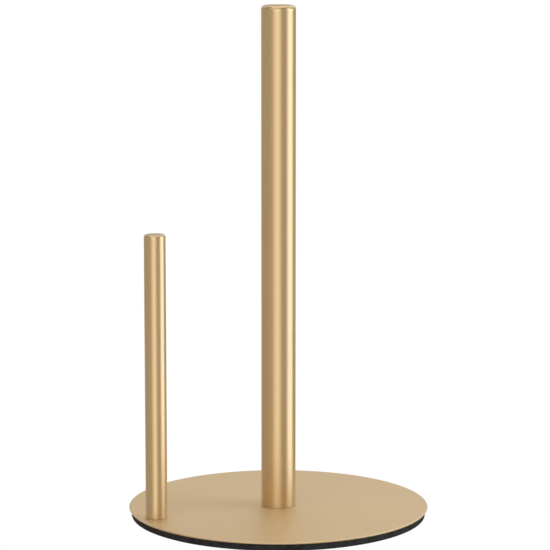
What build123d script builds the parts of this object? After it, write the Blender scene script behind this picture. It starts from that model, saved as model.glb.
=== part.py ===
"""Free-standing upright roll holder: a thin round base plate on a foam pad, a tall
central post that carries the rolls, and a shorter side post that stops them unwinding.

Frame: millimetres, origin on the resting plane under the middle of the base,
+Z up along the central post, the side post on the -X side.
"""

import math
import os

from build123d import *

# ---------------------------------------------------------------- driving dimensions
# base
PLATE_D = 175.3  # sheet steel disc
PLATE_T = 1.0
PLATE_ROLL_W, PLATE_ROLL_D = 1.4, 0.19  # stamped edge: the top rolls over gently ...
PLATE_NOSE_W, PLATE_NOSE_D = 0.15, 0.26  # ... turns down in a small nose ...
PLATE_BREAK_W = 0.35  # ... and breaks away inwards to the underside
PAD_D = 172.3  # foam pad, set back from the plate's rim
PAD_T = 4.1
PAD_EDGE_C = 0.12  # the pad is cut square, its lower edge only just broken

# central post
POST_OD = 20.0
POST_WALL = 1.0
POST_H = 293.2  # above the plate
POST_TOP_R = 2.3  # rounded top edge
POST_FOOT_C = 0.2  # broken edge at the foot

# side post
SIDE_DIST = 76.8  # between the two axes
SIDE_OD = 12.4
SIDE_WALL = 1.0
SIDE_H = 165.3  # above the plate
SIDE_TOP_R = 1.2
SIDE_FOOT_C = 0.2

# end caps: a flush head with a hollow spigot pressed into the tube
CAP_LAND = 0.5  # straight part of the head below the rounded edge
POST_SPIGOT_L = 8.0
POST_SPIGOT_BORE = 14.0
SIDE_SPIGOT_L = 6.0
SIDE_SPIGOT_BORE = 7.4
SPIGOT_C = 0.5

# threaded plugs pressed into the foot of each tube
PLUG_RECESS = 0.2  # held back so that the tube itself clamps on the plate
POST_PLUG_L = 16.0
SIDE_PLUG_L = 14.0
PLUG_C = 0.5
THREAD_GAP = 0.025  # radial, threads are plain cylinders
DRILL_WEB_R = 0.2  # a drill leaves a small flat at its point

# screws, button head with a hexagon socket, and wide washers
M5_D, M5_HEAD_D, M5_HEAD_H, M5_SOCKET, M5_SOCKET_DEPTH, M5_L = 5.0, 9.5, 2.75, 3.0, 1.6, 12.0
M5_WASHER_OD, M5_WASHER_ID, M5_WASHER_T, M5_HOLE = 15.0, 5.3, 1.2, 5.5
M4_D, M4_HEAD_D, M4_HEAD_H, M4_SOCKET, M4_SOCKET_DEPTH, M4_L = 4.0, 7.6, 2.2, 2.5, 1.35, 12.0
M4_WASHER_OD, M4_WASHER_ID, M4_WASHER_T, M4_HOLE = 12.0, 4.3, 1.0, 4.5
HEAD_RIM = 0.3  # straight rim under the head's dome
TIP_C = 0.6
POST_TAP_DEPTH = 13.0
SIDE_TAP_DEPTH = 11.5
ACCESS_GAP = 1.0  # pad hole around each washer, radial

# ---------------------------------------------------------------- levels and places
Z_PLATE = PAD_T  # underside of the plate
Z_TOP = PAD_T + PLATE_T  # top of the plate, where both posts stand
SIDE_X = -SIDE_DIST

Z_POST_CAP = Z_TOP + POST_H - POST_TOP_R - CAP_LAND
Z_SIDE_CAP = Z_TOP + SIDE_H - SIDE_TOP_R - CAP_LAND
POST_ID = POST_OD - 2 * POST_WALL
SIDE_ID = SIDE_OD - 2 * SIDE_WALL
Z_M5_SEAT = Z_PLATE - M5_WASHER_T  # underside of the washer, where the head bears
Z_M4_SEAT = Z_PLATE - M4_WASHER_T

post_axis = Axis((0, 0, 0), (0, 0, 1))
side_axis = Axis((SIDE_X, 0, 0), (0, 0, 1))

os.makedirs("parts", exist_ok=True)

# ---------------------------------------------------------------- base
# sheet steel disc with one clearance hole under each post
with BuildPart() as base_plate:
    r_rim = PLATE_D / 2
    r_flat = r_rim - PLATE_NOSE_W - PLATE_ROLL_W
    r_arc = (PLATE_ROLL_W**2 + PLATE_ROLL_D**2) / (2 * PLATE_ROLL_D)
    roll_mid = (r_flat + PLATE_ROLL_W / 2, Z_TOP - r_arc + (r_arc**2 - (PLATE_ROLL_W / 2) ** 2) ** 0.5)
    roll_end = (r_rim - PLATE_NOSE_W, Z_TOP - PLATE_ROLL_D)
    nose_end = (r_rim, Z_TOP - PLATE_ROLL_D - PLATE_NOSE_D)
    r_nose = (PLATE_NOSE_W**2 + PLATE_NOSE_D**2) / (2 * PLATE_NOSE_W)  # upright where it ends
    nose_half = math.asin(PLATE_NOSE_D / r_nose) / 2
    nose_mid = (r_rim - r_nose * (1 - math.cos(nose_half)), nose_end[1] + r_nose * math.sin(nose_half))
    with BuildSketch(Plane.XZ):
        with BuildLine():
            Polyline((0, Z_PLATE), (0, Z_TOP), (r_flat, Z_TOP))
            ThreePointArc((r_flat, Z_TOP), roll_mid, roll_end)
            ThreePointArc(roll_end, nose_mid, nose_end)
            Polyline(nose_end, (r_rim - PLATE_BREAK_W, Z_PLATE), (0, Z_PLATE))
        make_face()
    revolve(axis=post_axis)
    with BuildSketch(Plane.XY.offset(Z_PLATE)):
        with Locations((0, 0)):
            Circle(M5_HOLE / 2)
        with Locations((SIDE_X, 0)):
            Circle(M4_HOLE / 2)
    extrude(amount=PLATE_T, mode=Mode.SUBTRACT)
base_plate.part.label = "base_plate"
export_step(base_plate.part, "parts/base_plate.step")

# foam pad glued under the plate, with a hole to reach each screw
with BuildPart() as base_pad:
    with BuildSketch(Plane.XY):
        Circle(PAD_D / 2)
        with Locations((0, 0)):
            Circle(M5_WASHER_OD / 2 + ACCESS_GAP, mode=Mode.SUBTRACT)
        with Locations((SIDE_X, 0)):
            Circle(M4_WASHER_OD / 2 + ACCESS_GAP, mode=Mode.SUBTRACT)
    extrude(amount=PAD_T)
    rims = base_pad.edges().filter_by(GeomType.CIRCLE).group_by(Axis.Z)[0]
    chamfer(rims.sort_by(SortBy.RADIUS)[-1], length=PAD_EDGE_C)
base_pad.part.label = "base_pad"
export_step(base_pad.part, "parts/base_pad.step")

# ---------------------------------------------------------------- central post
with BuildPart() as center_tube:
    with BuildSketch(Plane.XY.offset(Z_TOP)):
        Circle(POST_OD / 2)
        Circle(POST_ID / 2, mode=Mode.SUBTRACT)
    extrude(amount=Z_POST_CAP - Z_TOP)
    foot = center_tube.edges().filter_by(GeomType.CIRCLE).group_by(Axis.Z)[0]
    chamfer(foot.sort_by(SortBy.RADIUS)[-1], length=POST_FOOT_C)
center_tube.part.label = "center_tube"
export_step(center_tube.part, "parts/center_tube.step")

with BuildPart() as center_end_cap:
    with BuildSketch(Plane.XY.offset(Z_POST_CAP)):
        Circle(POST_OD / 2)
    extrude(amount=CAP_LAND + POST_TOP_R)
    with BuildSketch(Plane.XY.offset(Z_POST_CAP)):
        Circle(POST_ID / 2)
        Circle(POST_SPIGOT_BORE / 2, mode=Mode.SUBTRACT)
    extrude(amount=-POST_SPIGOT_L)
    rim = center_end_cap.edges().filter_by(GeomType.CIRCLE).group_by(Axis.Z)[-1]
    fillet(rim, radius=POST_TOP_R)
    lead = center_end_cap.edges().filter_by(GeomType.CIRCLE).group_by(Axis.Z)[0]
    chamfer(lead.sort_by(SortBy.RADIUS)[-1], length=SPIGOT_C)
center_end_cap.part.label = "center_end_cap"
export_step(center_end_cap.part, "parts/center_end_cap.step")

with BuildPart() as center_threaded_plug:
    with BuildSketch(Plane.XY.offset(Z_TOP + PLUG_RECESS)):
        Circle(POST_ID / 2)
    extrude(amount=POST_PLUG_L)
    ends = center_threaded_plug.edges().filter_by(GeomType.CIRCLE)
    chamfer(ends, length=PLUG_C)
    # tapped hole with a drill point and a countersunk mouth
    with BuildSketch(Plane.XZ):
        tap = M5_D / 2 + THREAD_GAP
        z0 = Z_TOP + PLUG_RECESS
        with BuildLine():
            Polyline(
                (0, z0),
                (tap + 0.5, z0),
                (tap, z0 + 0.5),
                (tap, z0 + POST_TAP_DEPTH),
                (DRILL_WEB_R, z0 + POST_TAP_DEPTH + (tap - DRILL_WEB_R) * 0.6),
                (0, z0 + POST_TAP_DEPTH + (tap - DRILL_WEB_R) * 0.6),
                close=True,
            )
        make_face()
    revolve(axis=post_axis, mode=Mode.SUBTRACT)
center_threaded_plug.part.label = "center_threaded_plug"
export_step(center_threaded_plug.part, "parts/center_threaded_plug.step")

with BuildPart() as center_washer:
    with BuildSketch(Plane.XY.offset(Z_M5_SEAT)):
        Circle(M5_WASHER_OD / 2)
        Circle(M5_WASHER_ID / 2, mode=Mode.SUBTRACT)
    extrude(amount=M5_WASHER_T)
    rims = center_washer.edges().filter_by(GeomType.CIRCLE).group_by(Axis.Z)[0]
    fillet(rims.sort_by(SortBy.RADIUS)[-1], radius=0.25)
center_washer.part.label = "center_washer"
export_step(center_washer.part, "parts/center_washer.step")

with BuildPart() as center_screw:
    r_dome = ((M5_HEAD_D / 2) ** 2 + (M5_HEAD_H - HEAD_RIM) ** 2) / (2 * (M5_HEAD_H - HEAD_RIM))
    z_crown = Z_M5_SEAT - M5_HEAD_H
    r_mid = M5_HEAD_D * 0.27
    with BuildSketch(Plane.XZ):
        with BuildLine():
            Line((0, Z_M5_SEAT + M5_L), (0, z_crown))
            ThreePointArc(
                (0, z_crown),
                (r_mid, z_crown + r_dome - (r_dome**2 - r_mid**2) ** 0.5),
                (M5_HEAD_D / 2, Z_M5_SEAT - HEAD_RIM),
            )
            Polyline(
                (M5_HEAD_D / 2, Z_M5_SEAT - HEAD_RIM),
                (M5_HEAD_D / 2, Z_M5_SEAT),
                (M5_D / 2, Z_M5_SEAT),
                (M5_D / 2, Z_M5_SEAT + M5_L - TIP_C),
                (M5_D / 2 - TIP_C, Z_M5_SEAT + M5_L),
                (0, Z_M5_SEAT + M5_L),
            )
        make_face()
    revolve(axis=post_axis)
    with BuildSketch(Plane.XY.offset(z_crown)):
        RegularPolygon(M5_SOCKET / 2, 6, major_radius=False)
    extrude(amount=M5_SOCKET_DEPTH, mode=Mode.SUBTRACT)
center_screw.part.label = "center_screw"
export_step(center_screw.part, "parts/center_screw.step")

# ---------------------------------------------------------------- side post
with BuildPart() as side_tube:
    with BuildSketch(Plane((SIDE_X, 0, Z_TOP))):
        Circle(SIDE_OD / 2)
        Circle(SIDE_ID / 2, mode=Mode.SUBTRACT)
    extrude(amount=Z_SIDE_CAP - Z_TOP)
    foot = side_tube.edges().filter_by(GeomType.CIRCLE).group_by(Axis.Z)[0]
    chamfer(foot.sort_by(SortBy.RADIUS)[-1], length=SIDE_FOOT_C)
side_tube.part.label = "side_tube"
export_step(side_tube.part, "parts/side_tube.step")

with BuildPart() as side_end_cap:
    with BuildSketch(Plane((SIDE_X, 0, Z_SIDE_CAP))):
        Circle(SIDE_OD / 2)
    extrude(amount=CAP_LAND + SIDE_TOP_R)
    with BuildSketch(Plane((SIDE_X, 0, Z_SIDE_CAP))):
        Circle(SIDE_ID / 2)
        Circle(SIDE_SPIGOT_BORE / 2, mode=Mode.SUBTRACT)
    extrude(amount=-SIDE_SPIGOT_L)
    rim = side_end_cap.edges().filter_by(GeomType.CIRCLE).group_by(Axis.Z)[-1]
    fillet(rim, radius=SIDE_TOP_R)
    lead = side_end_cap.edges().filter_by(GeomType.CIRCLE).group_by(Axis.Z)[0]
    chamfer(lead.sort_by(SortBy.RADIUS)[-1], length=SPIGOT_C)
side_end_cap.part.label = "side_end_cap"
export_step(side_end_cap.part, "parts/side_end_cap.step")

with BuildPart() as side_threaded_plug:
    with BuildSketch(Plane((SIDE_X, 0, Z_TOP + PLUG_RECESS))):
        Circle(SIDE_ID / 2)
    extrude(amount=SIDE_PLUG_L)
    ends = side_threaded_plug.edges().filter_by(GeomType.CIRCLE)
    chamfer(ends, length=PLUG_C)
    with BuildSketch(Plane((SIDE_X, 0, 0), x_dir=(1, 0, 0), z_dir=(0, -1, 0))):
        tap = M4_D / 2 + THREAD_GAP
        z0 = Z_TOP + PLUG_RECESS
        with BuildLine():
            Polyline(
                (0, z0),
                (tap + 0.5, z0),
                (tap, z0 + 0.5),
                (tap, z0 + SIDE_TAP_DEPTH),
                (DRILL_WEB_R, z0 + SIDE_TAP_DEPTH + (tap - DRILL_WEB_R) * 0.6),
                (0, z0 + SIDE_TAP_DEPTH + (tap - DRILL_WEB_R) * 0.6),
                close=True,
            )
        make_face()
    revolve(axis=side_axis, mode=Mode.SUBTRACT)
side_threaded_plug.part.label = "side_threaded_plug"
export_step(side_threaded_plug.part, "parts/side_threaded_plug.step")

with BuildPart() as side_washer:
    with BuildSketch(Plane((SIDE_X, 0, Z_M4_SEAT))):
        Circle(M4_WASHER_OD / 2)
        Circle(M4_WASHER_ID / 2, mode=Mode.SUBTRACT)
    extrude(amount=M4_WASHER_T)
    rims = side_washer.edges().filter_by(GeomType.CIRCLE).group_by(Axis.Z)[0]
    fillet(rims.sort_by(SortBy.RADIUS)[-1], radius=0.2)
side_washer.part.label = "side_washer"
export_step(side_washer.part, "parts/side_washer.step")

with BuildPart() as side_screw:
    r_dome = ((M4_HEAD_D / 2) ** 2 + (M4_HEAD_H - HEAD_RIM) ** 2) / (2 * (M4_HEAD_H - HEAD_RIM))
    z_crown = Z_M4_SEAT - M4_HEAD_H
    r_mid = M4_HEAD_D * 0.27
    with BuildSketch(Plane((SIDE_X, 0, 0), x_dir=(1, 0, 0), z_dir=(0, -1, 0))):
        with BuildLine():
            Line((0, Z_M4_SEAT + M4_L), (0, z_crown))
            ThreePointArc(
                (0, z_crown),
                (r_mid, z_crown + r_dome - (r_dome**2 - r_mid**2) ** 0.5),
                (M4_HEAD_D / 2, Z_M4_SEAT - HEAD_RIM),
            )
            Polyline(
                (M4_HEAD_D / 2, Z_M4_SEAT - HEAD_RIM),
                (M4_HEAD_D / 2, Z_M4_SEAT),
                (M4_D / 2, Z_M4_SEAT),
                (M4_D / 2, Z_M4_SEAT + M4_L - TIP_C),
                (M4_D / 2 - TIP_C, Z_M4_SEAT + M4_L),
                (0, Z_M4_SEAT + M4_L),
            )
        make_face()
    revolve(axis=side_axis)
    with BuildSketch(Plane((SIDE_X, 0, z_crown))):
        RegularPolygon(M4_SOCKET / 2, 6, major_radius=False)
    extrude(amount=M4_SOCKET_DEPTH, mode=Mode.SUBTRACT)
side_screw.part.label = "side_screw"
export_step(side_screw.part, "parts/side_screw.step")
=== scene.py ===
import math

import bmesh
import bpy
import numpy as np
from mathutils import Matrix, Vector


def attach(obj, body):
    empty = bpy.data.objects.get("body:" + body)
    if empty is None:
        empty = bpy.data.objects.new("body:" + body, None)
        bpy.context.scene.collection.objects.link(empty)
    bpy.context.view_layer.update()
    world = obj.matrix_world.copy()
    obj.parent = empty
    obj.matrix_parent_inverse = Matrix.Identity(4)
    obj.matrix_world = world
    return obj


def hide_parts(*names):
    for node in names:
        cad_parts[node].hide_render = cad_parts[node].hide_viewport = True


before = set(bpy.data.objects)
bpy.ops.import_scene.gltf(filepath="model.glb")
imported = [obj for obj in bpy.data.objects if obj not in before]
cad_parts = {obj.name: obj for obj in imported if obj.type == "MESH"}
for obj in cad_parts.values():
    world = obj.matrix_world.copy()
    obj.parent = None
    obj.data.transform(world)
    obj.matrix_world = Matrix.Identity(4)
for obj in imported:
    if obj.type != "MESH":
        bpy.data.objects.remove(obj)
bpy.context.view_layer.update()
scene = bpy.context.scene
MM = 0.001

# ------------------------------------------------------------------ sizes, in mm, as in the CAD model
PLATE_R, PLATE_T = 87.65, 1.0
ROLL_W, ROLL_D, NOSE_W, NOSE_D, BREAK_W = 1.4, 0.19, 0.15, 0.26, 0.35  # the plate's stamped edge
PAD_R, PAD_T = 86.15, 4.1
Z_TOP = PAD_T + PLATE_T
POST_R, POST_ID_R, POST_H, POST_TOP_R, POST_FOOT = 10.0, 9.0, 293.2, 2.3, 0.2
SIDE_X, SIDE_R, SIDE_ID_R, SIDE_H, SIDE_TOP_R, SIDE_FOOT = -76.8, 6.2, 5.2, 165.3, 1.2, 0.2
CAP_LAND = 0.5
HOLE_M5, HOLE_M4 = 2.75, 2.25
ACCESS_M5, ACCESS_M4 = 8.5, 7.0


# ------------------------------------------------------------------ node helpers
class Tree:
    """Short hand for wiring a node tree."""

    def __init__(self, tree):
        self.t = tree
        tree.nodes.clear()

    def add(self, kind, **sets):
        n = self.t.nodes.new(kind)
        for k, v in sets.items():
            setattr(n, k, v)
        return n

    def put(self, socket, value):
        if isinstance(value, bpy.types.NodeSocket):
            self.t.links.new(value, socket)
        else:
            socket.default_value = value

    def math(self, op, a, b=None, c=None, clamp=False):
        n = self.add("ShaderNodeMath", operation=op, use_clamp=clamp)
        for i, v in enumerate((a, b, c)):
            if v is not None:
                self.put(n.inputs[i], v)
        return n.outputs[0]

    def vmath(self, op, a, b=None):
        n = self.add("ShaderNodeVectorMath", operation=op)
        self.put(n.inputs[0], a)
        if b is not None:
            self.put(n.inputs[1], b)
        return n.outputs["Value"] if op == "DOT_PRODUCT" else n.outputs["Vector"]

    def range(self, value, lo, hi, a=0.0, b=1.0, kind="SMOOTHSTEP"):
        n = self.add("ShaderNodeMapRange", interpolation_type=kind, clamp=True)
        self.put(n.inputs["Value"], value)
        for name, v in (("From Min", lo), ("From Max", hi), ("To Min", a), ("To Max", b)):
            n.inputs[name].default_value = v
        return n.outputs["Result"]

    def noise(self, vector, scale, detail=2.0, rough=0.5, lac=2.0, dims="3D", distortion=0.0):
        n = self.add("ShaderNodeTexNoise", noise_dimensions=dims)
        self.put(n.inputs["Vector"], vector)
        n.inputs["Scale"].default_value = scale
        n.inputs["Detail"].default_value = detail
        n.inputs["Roughness"].default_value = rough
        n.inputs["Lacunarity"].default_value = lac
        n.inputs["Distortion"].default_value = distortion
        return n.outputs["Fac"]

    def mix(self, fac, a, b, blend="MIX"):
        n = self.add("ShaderNodeMix", data_type="RGBA", blend_type=blend, clamp_factor=True)
        self.put(n.inputs["Factor"], fac)
        self.put(n.inputs[6], a)
        self.put(n.inputs[7], b)
        return n.outputs[2]

    def bump(self, height, strength, distance, normal=None):
        n = self.add("ShaderNodeBump")
        n.inputs["Strength"].default_value = strength
        n.inputs["Distance"].default_value = distance
        self.put(n.inputs["Height"], height)
        if normal is not None:
            self.put(n.inputs["Normal"], normal)
        return n.outputs["Normal"]


def material(name):
    m = bpy.data.materials.new(name)
    m.use_nodes = True
    return m, Tree(m.node_tree)


# ------------------------------------------------------------------ camera: the photograph's viewpoint
AZ = math.radians(-23.62)  # the side post is turned this far towards the viewer
CAM_DIST, CAM_H, CAM_PITCH = 1.59763, 0.40761, math.radians(9.44)
FOCAL_PX, IMAGE_PX, AXIS_PX = 2789.9, 550.0, 278.51
to_cam = Vector((math.sin(AZ), -math.cos(AZ), 0.0))  # level, from the spindle to the camera
to_right = Vector((math.cos(AZ), math.sin(AZ), 0.0))  # level, to the right in the picture

cam_data = bpy.data.cameras.new("camera")
cam_data.sensor_fit = "AUTO"
cam_data.sensor_width = 36.0
cam_data.lens = FOCAL_PX / IMAGE_PX * 36.0
cam_data.dof.use_dof = False
cam_data.clip_start, cam_data.clip_end = 0.05, 200.0
cam = bpy.data.objects.new("camera", cam_data)
scene.collection.objects.link(cam)
yaw = math.atan((AXIS_PX - IMAGE_PX / 2) / FOCAL_PX)  # the spindle stands a little right of the middle
heading = (Matrix.Rotation(yaw, 3, "Z") @ (-to_cam)).normalized()
look = heading * math.cos(CAM_PITCH) - Vector((0, 0, 1)) * math.sin(CAM_PITCH)
cam.location = to_cam * CAM_DIST + Vector((0, 0, CAM_H))
cam.rotation_mode = "QUATERNION"
cam.rotation_quaternion = look.to_track_quat("-Z", "Y")
scene.camera = cam


# ------------------------------------------------------------------ materials
def gold_material(name, rough, metal, turned=0.0, burnish=0.15):
    """Satin champagne gold lacquer on steel: a soft metallic sheen with a very fine flake grain."""
    m, t = material(name)
    pos = t.add("ShaderNodeTexCoord").outputs["Object"]
    # broad, faint unevenness of the coat, then the flake grain
    drift = t.noise(pos, 26.0, 3.0, 0.55)
    cloud = t.noise(pos, 190.0, 2.0, 0.5)
    flake = t.noise(pos, 3400.0, 2.0, 0.6)
    tone = t.math("ADD", t.math("MULTIPLY", drift, 0.55), t.math("MULTIPLY", cloud, 0.45))
    colour = t.mix(t.range(tone, 0.34, 0.66, kind="LINEAR"), (0.780, 0.556, 0.304, 1), (0.800, 0.578, 0.324, 1))
    colour = t.mix(t.range(flake, 0.30, 0.70, 0.0, 0.022, "LINEAR"), colour, (0.92, 0.75, 0.50, 1))
    # rounded edges, where the normal leaves both the upright and the level, are rubbed a little brighter
    upward = t.vmath("DOT_PRODUCT", t.add("ShaderNodeNewGeometry").outputs["Normal"], (0.0, 0.0, 1.0))
    tilt = t.math("ABSOLUTE", upward)
    edge = t.math("MULTIPLY", t.range(tilt, 0.10, 0.40), t.range(tilt, 0.955, 0.998, 1.0, 0.0))
    worn = t.math("MULTIPLY", edge, t.range(t.noise(pos, 620.0, 3.0, 0.6), 0.38, 0.66))
    colour = t.mix(t.math("MULTIPLY", worn, 0.35), colour, (0.90, 0.72, 0.45, 1))
    colour = t.mix(t.range(upward, -0.5, -0.2, 0.45, 0.0), colour, (0.20, 0.135, 0.075, 1))  # painted shade: faces turned downwards are mixed towards dark brown, standing in for the shadow they sit in
    grain = t.math("ADD", t.range(tone, 0.3, 0.7, rough - 0.015, rough + 0.015, "LINEAR"), t.range(flake, 0.3, 0.7, -0.006, 0.006, "LINEAR"))
    b = t.add("ShaderNodeBsdfPrincipled")
    t.put(b.inputs["Base Color"], colour)
    t.put(b.inputs["Roughness"], t.math("SUBTRACT", grain, t.math("MULTIPLY", edge, t.range(worn, 0.0, 1.0, burnish * 0.85, burnish, "LINEAR"))))
    t.put(b.inputs["Normal"], t.bump(flake, 0.004, 0.00003))
    b.inputs["Metallic"].default_value = metal
    b.inputs["Specular IOR Level"].default_value = 0.5
    if turned:  # polished on the lathe: the fine lines run round the axis, so the gloss spreads along it
        b.inputs["Anisotropic"].default_value = turned
        b.inputs["Anisotropic Rotation"].default_value = 0.25
        t.put(b.inputs["Tangent"], t.add("ShaderNodeTangent", direction_type="RADIAL", axis="Z").outputs[0])
    t.put(t.add("ShaderNodeOutputMaterial").inputs["Surface"], b.outputs[0])
    return m


def steel_material():
    """Bright zinc plate on small steel parts: greyish, faintly blue and yellow, with a tumbled grain."""
    m, t = material("zinc_steel")
    pos = t.add("ShaderNodeTexCoord").outputs["Object"]
    patch = t.noise(pos, 420.0, 3.0, 0.6)
    grain = t.noise(pos, 3800.0, 2.0, 0.65)
    colour = t.mix(t.range(patch, 0.35, 0.65, kind="LINEAR"), (0.50, 0.53, 0.57, 1), (0.62, 0.60, 0.54, 1))
    rough = t.math("ADD", t.range(patch, 0.3, 0.7, 0.26, 0.38, "LINEAR"), t.range(grain, 0.3, 0.7, -0.04, 0.04, "LINEAR"))
    b = t.add("ShaderNodeBsdfPrincipled")
    t.put(b.inputs["Base Color"], colour)
    t.put(b.inputs["Roughness"], rough)
    t.put(b.inputs["Normal"], t.bump(grain, 0.12, 0.00006))
    b.inputs["Metallic"].default_value = 1.0
    t.put(t.add("ShaderNodeOutputMaterial").inputs["Surface"], b.outputs[0])
    return m


def foam_material():
    """Black cut foam rubber: open cells about a third of a millimetre across, matt and a little dusty."""
    m, t = material("black_foam")
    pos = t.add("ShaderNodeTexCoord").outputs["Object"]
    cells = t.add("ShaderNodeTexVoronoi", feature="DISTANCE_TO_EDGE", voronoi_dimensions="3D")
    t.put(cells.inputs["Vector"], pos)
    cells.inputs["Scale"].default_value = 2600.0
    wall = t.range(cells.outputs["Distance"], 0.02, 0.30)
    big = t.add("ShaderNodeTexVoronoi", feature="F1", voronoi_dimensions="3D")
    t.put(big.inputs["Vector"], pos)
    big.inputs["Scale"].default_value = 900.0
    pits = t.range(big.outputs["Distance"], 0.10, 0.45)
    mottle = t.noise(pos, 300.0, 2.5, 0.55)
    dust = t.noise(pos, 1500.0, 3.0, 0.7)
    colour = t.mix(t.range(mottle, 0.36, 0.64, kind="LINEAR"), (0.0050, 0.0049, 0.0048, 1), (0.0270, 0.0266, 0.0258, 1))
    # painted shade in the cells: the rims are mixed towards a lighter grey, leaving the hollows darker
    colour = t.mix(t.range(wall, 0.0, 1.0, 0.4, 0.0, "LINEAR"), colour, (0.026, 0.0256, 0.025, 1))
    colour = t.mix(t.range(dust, 0.60, 0.78, 0.0, 0.5), colour, (0.050, 0.049, 0.047, 1))
    normal = t.bump(t.math("SUBTRACT", 1.0, wall), 0.55, 0.00012)
    normal = t.bump(pits, 0.45, 0.00025, normal)
    b = t.add("ShaderNodeBsdfPrincipled")
    t.put(b.inputs["Base Color"], colour)
    t.put(b.inputs["Roughness"], t.range(mottle, 0.3, 0.7, 0.78, 0.95, "LINEAR"))
    t.put(b.inputs["Normal"], normal)
    b.inputs["Specular IOR Level"].default_value = 0.35
    t.put(t.add("ShaderNodeOutputMaterial").inputs["Surface"], b.outputs[0])
    return m


GOLD = gold_material("satin_gold", 0.385, 0.75, 0.8, 0.05)  # drawn tube
GOLD_CAP = gold_material("satin_gold_cap", 0.31, 0.78, 0.40, 0.06)  # turned end caps
GOLD_SHEET = gold_material("satin_gold_sheet", 0.46, 0.45, 0.0, 0.24)  # rolled sheet keeps a coarser grain under the same coat
STEEL, FOAM = steel_material(), foam_material()


# ------------------------------------------------------------------ mesh helpers
def arc(cx, cz, r, a0, a1, n):
    """Points of an arc in (radius, height), from angle a0 to a1 in degrees, both ends included."""
    return [(cx + r * math.cos(math.radians(a)), cz + r * math.sin(math.radians(a))) for a in np.linspace(a0, a1, n + 1)]


def run(p, q, step, margin=0.25):
    """Rings along a straight wall from p to q, ends left out, with one close to each end to hold the shading flat."""
    d = math.dist(p, q)
    if d < 3 * margin:
        return []
    n = max(1, round((d - 2 * margin) / step))
    at = [margin + (d - 2 * margin) * i / n for i in range(n + 1)]
    return [(p[0] + (q[0] - p[0]) * s / d, p[1] + (q[1] - p[1]) * s / d) for s in at]


def lathe(name, profile, segs, x=0.0, closed=True, mat=GOLD, turn=0.0, sharp=35.0):
    """Turns a profile of (radius, height) in mm about a vertical axis. A radius of 0 at an end closes it with a point."""
    bm = bmesh.new()
    rings = []
    for r, z in profile:
        if r < 1e-6:
            rings.append([bm.verts.new((x * MM, 0, z * MM))])
        else:
            rings.append([
                bm.verts.new(((x + r * math.cos(a)) * MM, r * math.sin(a) * MM, z * MM))
                for a in (turn + 2 * math.pi * i / segs for i in range(segs))
            ])
    pairs = list(zip(rings, rings[1:])) + ([(rings[-1], rings[0])] if closed else [])
    for lo, hi in pairs:
        for i in range(segs):
            j = (i + 1) % segs
            if len(lo) == 1 and len(hi) == 1:
                continue
            if len(lo) == 1:
                bm.faces.new((lo[0], hi[j], hi[i]))
            elif len(hi) == 1:
                bm.faces.new((lo[i], lo[j], hi[0]))
            else:
                bm.faces.new((lo[i], lo[j], hi[j], hi[i]))
    return finish_mesh(name, bm, mat, sharp)


def finish_mesh(name, bm, mat, sharp=35.0):
    bmesh.ops.recalc_face_normals(bm, faces=bm.faces)
    mesh = bpy.data.meshes.new(name)
    bm.to_mesh(mesh)
    bm.free()
    for p in mesh.polygons:
        p.use_smooth = True
    mesh.set_sharp_from_angle(angle=math.radians(sharp))
    mesh.materials.append(mat)
    ob = bpy.data.objects.new(name, mesh)
    scene.collection.objects.link(ob)
    return ob


def stands_for(piece, node):
    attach(piece, "root")
    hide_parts(node)
    return piece


# ------------------------------------------------------------------ posts: closed tubes with flush end caps
def tube(name, r, inner, z0, z1, foot, segs, x, node):
    outer = [(r - foot, z0)] + [(r - foot * 0.45, z0 + foot * 0.22), (r - foot * 0.12, z0 + foot * 0.58), (r, z0 + foot)]
    wall = run((r, z0 + foot), (r, z1), 6.0) + [(r, z1)]
    inside = [(inner, z1)] + run((inner, z1), (inner, z0), 40.0) + [(inner, z0)]
    return stands_for(lathe(name, outer + wall + inside, segs, x), node)


def end_cap(name, r, inner, bore, z0, z_top, edge, spigot, segs, x, node):
    head = [(inner, z0), (r, z0)] + run((r, z0), (r, z_top - edge), 1.0, 0.12) + arc(r - edge, z_top - edge, edge, 0, 90, 14)
    crown = [(r - edge - 0.25, z_top)] + [((r - edge - 0.25) * s, z_top) for s in (0.7, 0.4, 0.15)] + [(0.0, z_top)]
    under = [(0.0, z0), (bore * 0.5, z0), (bore, z0), (bore, z0 - spigot), (inner - 0.5, z0 - spigot), (inner, z0 - spigot + 0.5)]
    return stands_for(lathe(name, head + crown + under, segs, x, mat=GOLD_CAP), node)


Z_POST_CAP = Z_TOP + POST_H - POST_TOP_R - CAP_LAND
Z_SIDE_CAP = Z_TOP + SIDE_H - SIDE_TOP_R - CAP_LAND
tube("post_tube", POST_R, POST_ID_R, Z_TOP, Z_POST_CAP, POST_FOOT, 192, 0.0, "center_tube")
end_cap("post_cap", POST_R, POST_ID_R, 7.0, Z_POST_CAP, Z_TOP + POST_H, POST_TOP_R, 8.0, 192, 0.0, "center_end_cap")
tube("side_post_tube", SIDE_R, SIDE_ID_R, Z_TOP, Z_SIDE_CAP, SIDE_FOOT, 144, SIDE_X, "side_tube")
end_cap("side_post_cap", SIDE_R, SIDE_ID_R, 3.7, Z_SIDE_CAP, Z_TOP + SIDE_H, SIDE_TOP_R, 6.0, 144, SIDE_X, "side_end_cap")


# ------------------------------------------------------------------ base plate and pad: discs with two holes
def ring(bm, r, z, segs, x=0.0, wobble=None):
    out = []
    for i in range(segs):
        a = 2 * math.pi * i / segs
        rr = r + (wobble[i] if wobble is not None else 0.0)
        out.append(bm.verts.new(((x + rr * math.cos(a)) * MM, rr * math.sin(a) * MM, z * MM)))
    return out


def loop_edges(bm, verts):
    return [bm.edges.get((verts[i], verts[(i + 1) % len(verts)])) or bm.edges.new((verts[i], verts[(i + 1) % len(verts)])) for i in range(len(verts))]


def skin(bm, a, b):
    n = len(a)
    for i in range(n):
        j = (i + 1) % n
        bm.faces.new((a[i], a[j], b[j], b[i]))


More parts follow.
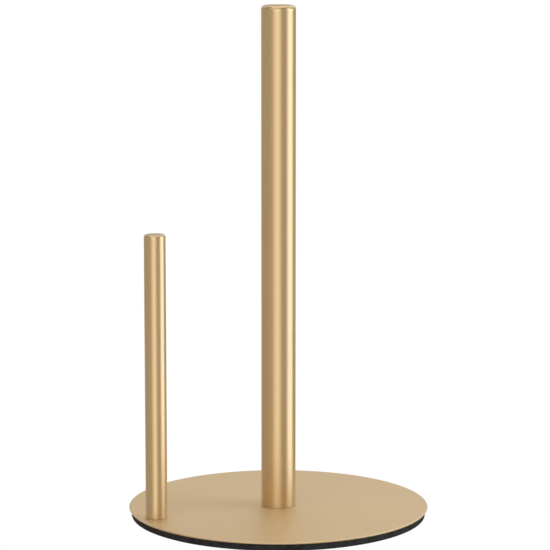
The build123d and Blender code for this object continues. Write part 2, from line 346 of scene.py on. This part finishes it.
def face_with_holes(bm, outer, *holes):
    edges = loop_edges(bm, outer)
    for h in holes:
        edges += loop_edges(bm, h)
    bmesh.ops.triangle_fill(bm, use_beauty=True, use_dissolve=False, edges=edges)


def plate():
    bm = bmesh.new()
    segs, zb, zt = 384, PAD_T, Z_TOP
    flat, big = PLATE_R - NOSE_W - ROLL_W, (ROLL_W**2 + ROLL_D**2) / (2 * ROLL_D)
    edge = [(flat - 0.6, zt)] + arc(flat, zt - big, big, 90, 90 - math.degrees(math.asin(ROLL_W / big)), 8)
    z2, nose = zt - ROLL_D - NOSE_D, (NOSE_W**2 + NOSE_D**2) / (2 * NOSE_W)
    edge += arc(PLATE_R - nose, z2, nose, math.degrees(math.asin(NOSE_D / nose)), 0, 6)[1:]
    rb, slope = PLATE_R - BREAK_W, z2 - zb  # broken face, with a ring close to each end to hold the shading
    edge += [(PLATE_R - BREAK_W * s, z2 - slope * s) for s in (0.12, 0.5, 0.88, 1.0)] + [(rb - 0.3, zb)]
    rings = [ring(bm, r, z, segs) for r, z in edge]
    for a, b in zip(rings, rings[1:]):
        skin(bm, a, b)
    bores = []
    for x, r, n in ((0.0, HOLE_M5, 64), (SIDE_X, HOLE_M4, 56)):
        top, bottom = ring(bm, r, zt, n, x), ring(bm, r, zb, n, x)
        skin(bm, bottom, top)
        bores.append((top, bottom))
    face_with_holes(bm, rings[0], *(b[0] for b in bores))
    face_with_holes(bm, rings[-1], *(b[1] for b in bores))
    return stands_for(finish_mesh("plate", bm, GOLD_SHEET), "base_plate")


def pad():
    """Foam pad, cut square with a knife: its wall waves a little and is pitted by the cells it was cut through."""
    bm = bmesh.new()
    rng = np.random.default_rng(7)

    def waves(n, parts):
        a = np.linspace(0, 2 * math.pi, n, endpoint=False)
        return sum(amp * np.sin(k * a + ph) for k, amp, ph in parts)

    def pitted(rows, n, count, depth):
        """Random hollows on an unrolled wall of rows x n points, each a few points across."""
        out = np.zeros((rows, n))
        for _ in range(count):
            i, j = rng.integers(0, rows), rng.integers(0, n)
            d, w = depth * rng.uniform(0.4, 1.0), rng.uniform(0.9, 3.0)
            for di in range(-4, 5):
                for dj in range(-5, 6):
                    if 0 <= i + di < rows:
                        k = (j + dj) % n
                        out[i + di, k] = max(out[i + di, k], d * math.exp(-(di * di + dj * dj) / (w * w)))
        return out

    segs = 1280
    slow = waves(segs, [(3, 0.06, 0.4), (7, 0.03, 1.9), (13, 0.025, 4.1), (29, 0.015, 2.2)])
    levels = np.concatenate([[0.0, 0.04, 0.12], np.linspace(0.4, PAD_T - 0.3, 11), [PAD_T - 0.06, PAD_T]])
    pits = pitted(len(levels), segs, 1500, 0.24)
    rows = []
    for i, z in enumerate(levels):
        ease = -0.10 * max(0.0, 1 - z / 0.12) ** 2  # lower edge just broken
        fade = 0.25 if z < 0.1 or z > PAD_T - 0.1 else 1.0
        grain = rng.normal(0.0, 0.002, segs)
        rows.append(ring(bm, PAD_R + ease, z, segs, wobble=slow + (grain - pits[i] + 0.03) * fade))
    for a, b in zip(rows, rows[1:]):
        skin(bm, a, b)
    holes = []
    for x, r, n in ((0.0, ACCESS_M5, 200), (SIDE_X, ACCESS_M4, 170)):
        heights = (0.0, 0.1, 0.4, 0.9, 1.5, 2.1, 2.7, 3.3, 3.8, PAD_T)
        wave, cells = waves(n, [(2, 0.05, 1.1), (5, 0.03, 0.3)]), pitted(len(heights), n, 260, 0.14)
        walls = []
        for i, z in enumerate(heights):
            ease = 0.10 * max(0.0, 1 - z / 0.1) ** 2
            fade = 0.25 if z < 0.05 or z > PAD_T - 0.05 else 1.0
            walls.append(ring(bm, r + ease, z, n, x, wobble=wave + (rng.normal(0.0, 0.012, n) + cells[i]) * fade))
        for a, b in zip(walls, walls[1:]):
            skin(bm, a, b)
        holes.append((walls[0], walls[-1]))
    face_with_holes(bm, rows[0], *(h[0] for h in holes))
    face_with_holes(bm, rows[-1], *(h[1] for h in holes))
    ob = stands_for(finish_mesh("pad", bm, FOAM, 50.0), "base_pad")
    return ob


plate()
pad()

# ------------------------------------------------------------------ hardware keeps its CAD shape
for node in ("center_threaded_plug", "center_screw", "center_washer", "side_threaded_plug", "side_screw", "side_washer"):
    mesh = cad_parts[node].data
    mesh.materials.clear()
    mesh.materials.append(STEEL)

# ------------------------------------------------------------------ stage: pale floor
bm = bmesh.new()
half = 30.0
corners = [bm.verts.new((sx * half, sy * half, -0.0002)) for sx, sy in ((-1, -1), (1, -1), (1, 1), (-1, 1))]
bm.faces.new(corners)
fmesh = bpy.data.meshes.new("floor")
bm.to_mesh(fmesh)
bm.free()
floor = bpy.data.objects.new("floor", fmesh)
scene.collection.objects.link(floor)
fm, t = material("floor_white")
d = t.add("ShaderNodeBsdfDiffuse")
d.inputs["Color"].default_value = (0.04, 0.04, 0.04, 1)
e = t.add("ShaderNodeEmission")
e.inputs["Color"].default_value = (1, 1, 1, 1)
e.inputs["Strength"].default_value = 0.985
both = t.add("ShaderNodeAddShader")
t.put(both.inputs[0], d.outputs[0])
t.put(both.inputs[1], e.outputs[0])
clear = t.add("ShaderNodeBsdfTransparent")
side = t.add("ShaderNodeMixShader")  # seen from below, the floor lets the underside show
t.put(side.inputs[0], t.add("ShaderNodeNewGeometry").outputs["Backfacing"])
t.put(side.inputs[1], both.outputs[0])
t.put(side.inputs[2], clear.outputs[0])
t.put(t.add("ShaderNodeOutputMaterial").inputs["Surface"], side.outputs[0])
fmesh.materials.append(fm)
floor.visible_glossy = False  # the satin metal mirrors the studio, not the endless floor
floor.visible_shadow = False

# ------------------------------------------------------------------ studio light
# A soft surround with a wide soft box beside the camera, a tall strip box to the right and a soft ceiling.
world = bpy.data.worlds.new("studio")
scene.world = world
world.use_nodes = True
t = Tree(world.node_tree)
ray = t.add("ShaderNodeTexCoord").outputs["Generated"]
front = t.vmath("DOT_PRODUCT", ray, tuple(to_cam))
right = t.vmath("DOT_PRODUCT", ray, tuple(to_right))
up = t.vmath("DOT_PRODUCT", ray, (0.0, 0.0, 1.0))
az = t.math("ARCTAN2", right, front)  # 0 towards the camera, positive to the right
el = t.math("ARCSINE", up)


def deg(x):
    return math.radians(x)


def box(az0, az1, az2, az3, el0, el1, el2, el3):
    """A soft box: fades in from az0 to az1 and out from az2 to az3, and likewise in elevation."""
    a = t.math("MULTIPLY", t.range(az, deg(az0), deg(az1)), t.range(az, deg(az2), deg(az3), 1.0, 0.0))
    e = t.math("MULTIPLY", t.range(el, deg(el0), deg(el1)), t.range(el, deg(el2), deg(el3), 1.0, 0.0))
    return t.math("MULTIPLY", a, e)


def lit(base, fac, colour):
    n = t.add("ShaderNodeMix", data_type="RGBA", blend_type="ADD", clamp_factor=False)
    t.put(n.inputs["Factor"], fac)
    t.put(n.inputs[6], base)
    t.put(n.inputs[7], (*colour, 1))
    return n.outputs[2]


behind = t.math("MAXIMUM", t.range(az, deg(100), deg(124)), t.range(az, deg(-142), deg(-102), 1.0, 0.0))
sky = t.mix(t.range(el, deg(-70), deg(2)), (0.20, 0.125, 0.045, 1), (0.235, 0.20, 0.13, 1))  # dim warm surround
sky = t.mix(t.range(el, deg(12), deg(40)), sky, (0.12, 0.10, 0.07, 1))
sky = lit(sky, t.range(el, deg(52), deg(70)), (0.90, 0.83, 0.66))  # overhead box
wall = t.math("MULTIPLY", t.range(el, deg(4), deg(18)), t.range(el, deg(36), deg(80), 1.0, 0.0))
sky = lit(sky, t.math("MULTIPLY", behind, wall), (0.43, 0.495, 0.60))  # pale wall behind
sky = lit(sky, box(-140, -100, -58, -9, -40, 0, 0, 28), (0.13, 0.15, 0.19))  # weak fill on the left
sky = lit(sky, box(-50, -9, -4, 31, -58, -6, 0, 74), (1.33, 1.37, 1.41))  # wide front box
sky = lit(sky, box(-92, -60, -42, -8, 16, 34, 54, 78), (0.50, 0.50, 0.47))  # its upper left corner reaches further round
sky = lit(sky, box(52, 74, 98, 115, -44, -4, -4, 22), (2.18, 2.56, 3.05))  # bright strip on the right
sky = lit(sky, box(58, 72, 90, 104, 20, 30, 36, 52), (1.55, 1.75, 2.00))  # a smaller box above it
sky = lit(sky, box(132, 152, 178, 180, 12, 26, 40, 62), (0.36, 0.38, 0.40))  # its spill on the wall behind
top = t.math("MULTIPLY", t.range(el, deg(32), deg(48)), t.range(el, deg(60), deg(80), 1.0, 0.0))
sky = lit(sky, t.math("MULTIPLY", behind, top), (0.27, 0.265, 0.25))  # the wall is lit most near the ceiling
sky = lit(sky, box(-174, -160, -150, -126, -46, -14, -4, 20), (0.24, 0.27, 0.32))  # low box behind on the left
sky = lit(sky, t.range(el, deg(-82), deg(-62), 1.0, 0.0), (0.50, 0.47, 0.42))  # glow from the floor
bg = t.add("ShaderNodeBackground")
t.put(bg.inputs["Color"], sky)
bg.inputs["Strength"].default_value = 1.0
t.put(t.add("ShaderNodeOutputWorld").inputs["Surface"], bg.outputs[0])


def lamp(name, az, el, energy, colour):
    """A large round soft box far off, which throws the soft shadow of the post across the plate."""
    data = bpy.data.lights.new(name, "AREA")
    data.shape, data.size, data.energy, data.color = "DISK", 2.3, energy, colour
    ob = bpy.data.objects.new(name, data)
    scene.collection.objects.link(ob)
    level = to_right * math.sin(deg(az)) + to_cam * math.cos(deg(az))
    aim = level * math.cos(deg(el)) + Vector((0, 0, 1)) * math.sin(deg(el))
    ob.location = aim * 4.0
    ob.visible_glossy = False
    ob.rotation_mode = "QUATERNION"
    ob.rotation_quaternion = (-aim).to_track_quat("-Z", "Y")


lamp("key", 90, 35, 42.0, (0.78, 0.95, 1.10))

scene.view_settings.view_transform = "Standard"
scene.view_settings.look = "None"

# ------------------------------------------------------------------ final update of the view layer
bpy.context.view_layer.update()
